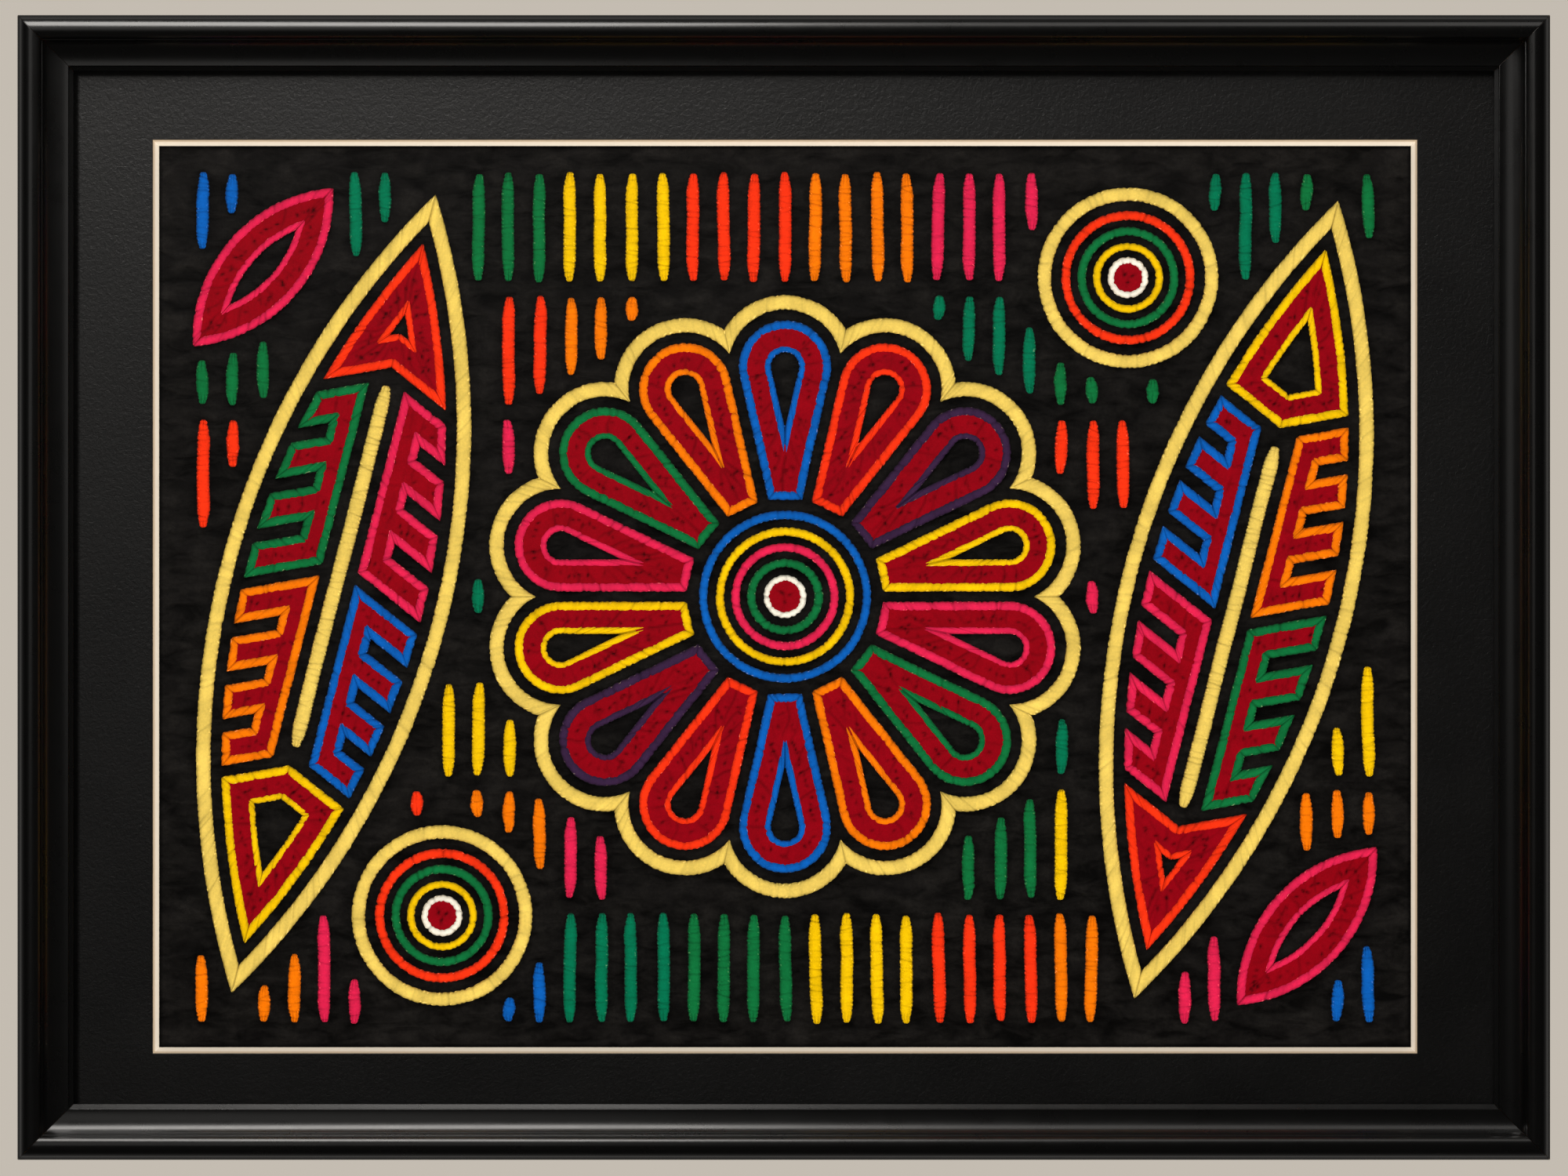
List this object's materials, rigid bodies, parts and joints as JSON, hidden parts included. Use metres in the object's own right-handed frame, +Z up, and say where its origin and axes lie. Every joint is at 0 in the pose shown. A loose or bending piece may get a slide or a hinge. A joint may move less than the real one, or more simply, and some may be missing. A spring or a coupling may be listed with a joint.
{
  "type": "framed textile panel: reverse-applique cloth in a mitred picture frame",
  "caption": "Flat hand-stitched reverse-applique cloth of flowers and leaves, stretched behind a bevelled black window mat in a black moulded frame, to hang on a wall.",
  "frame": {"origin": "on the back face of the top rail, midway along it, where the frame lies against the wall", "axes": "+X to the right along the long side seen from the front, +Y from the front into the wall, +Z up"},
  "size_m": [0.508, 0.024, 0.3794],
  "materials": {
    "black_cotton": "plain woven, a little puckered by the stitching",
    "pale_yellow_cotton": "plain woven cotton, folded under and hand stitched",
    "blue_cotton": "plain woven cotton, folded under and hand stitched",
    "orange_cotton": "plain woven cotton, folded under and hand stitched",
    "green_cotton": "plain woven cotton, folded under and hand stitched",
    "pink_cotton": "plain woven cotton, folded under and hand stitched",
    "yellow_cotton": "plain woven cotton, folded under and hand stitched",
    "plum_cotton": "plain woven cotton, folded under and hand stitched",
    "vermilion_cotton": "plain woven cotton, folded under and hand stitched",
    "white_cotton": "plain woven cotton, folded under and hand stitched",
    "crimson_cotton": "plain woven cotton, folded under and hand stitched",
    "teal_thread": "satin-stitched thread",
    "black_lacquer": "glossy black lacquer over moulded wood",
    "mat_paper": "matt black paper face",
    "mat_core": "cream core, cut at a slant",
    "bare_wood": "sawn and unpainted",
    "backing_board": "plain grey board"
  },
  "bodies": {
    "root": {"backing_board": "backing_board", "flower_eye": "white_cotton", "flower_outline": "pale_yellow_cotton", "ground_cloth": "black_cotton", "leaf_left_comb_1": "green_cotton", "leaf_left_comb_2": "pink_cotton", "leaf_left_comb_3": "orange_cotton", "leaf_left_comb_4": "blue_cotton", "leaf_left_foot": "vermilion_cotton", "leaf_left_outline": "pale_yellow_cotton", "leaf_left_rib": "pale_yellow_cotton", "leaf_left_tip": "yellow_cotton", "leaf_right_comb_1": "green_cotton", "leaf_right_comb_2": "pink_cotton", "leaf_right_comb_3": "orange_cotton", "leaf_right_comb_4": "blue_cotton", "leaf_right_foot": "vermilion_cotton", "leaf_right_outline": "pale_yellow_cotton", "leaf_right_rib": "pale_yellow_cotton", "leaf_right_tip": "yellow_cotton", "mat_board": "mat_paper", "petal_01": "blue_cotton", "petal_02": "orange_cotton", "petal_03": "green_cotton", "petal_04": "pink_cotton", "petal_05": "yellow_cotton", "petal_06": "plum_cotton", "petal_07": "vermilion_cotton", "petal_08": "blue_cotton", "petal_09": "orange_cotton", "petal_10": "green_cotton", "petal_11": "pink_cotton", "petal_12": "yellow_cotton", "petal_13": "plum_cotton", "petal_14": "vermilion_cotton", "rail_bottom": "black_lacquer", "rail_left": "black_lacquer", "rail_right": "black_lacquer", "rail_top": "black_lacquer", "ring_blue": "blue_cotton", "ring_green": "green_cotton", "ring_pink": "pink_cotton", "ring_yellow": "yellow_cotton", "small_flower_left_eye": "white_cotton", "small_flower_left_green": "green_cotton", "small_flower_left_pale_yellow": "pale_yellow_cotton", "small_flower_left_vermilion": "vermilion_cotton", "small_flower_left_yellow": "yellow_cotton", "small_flower_right_eye": "white_cotton", "small_flower_right_green": "green_cotton", "small_flower_right_pale_yellow": "pale_yellow_cotton", "small_flower_right_vermilion": "vermilion_cotton", "small_flower_right_yellow": "yellow_cotton", "small_leaf_left": "pink_cotton", "small_leaf_right": "pink_cotton"}
  },
  "joints": []
}
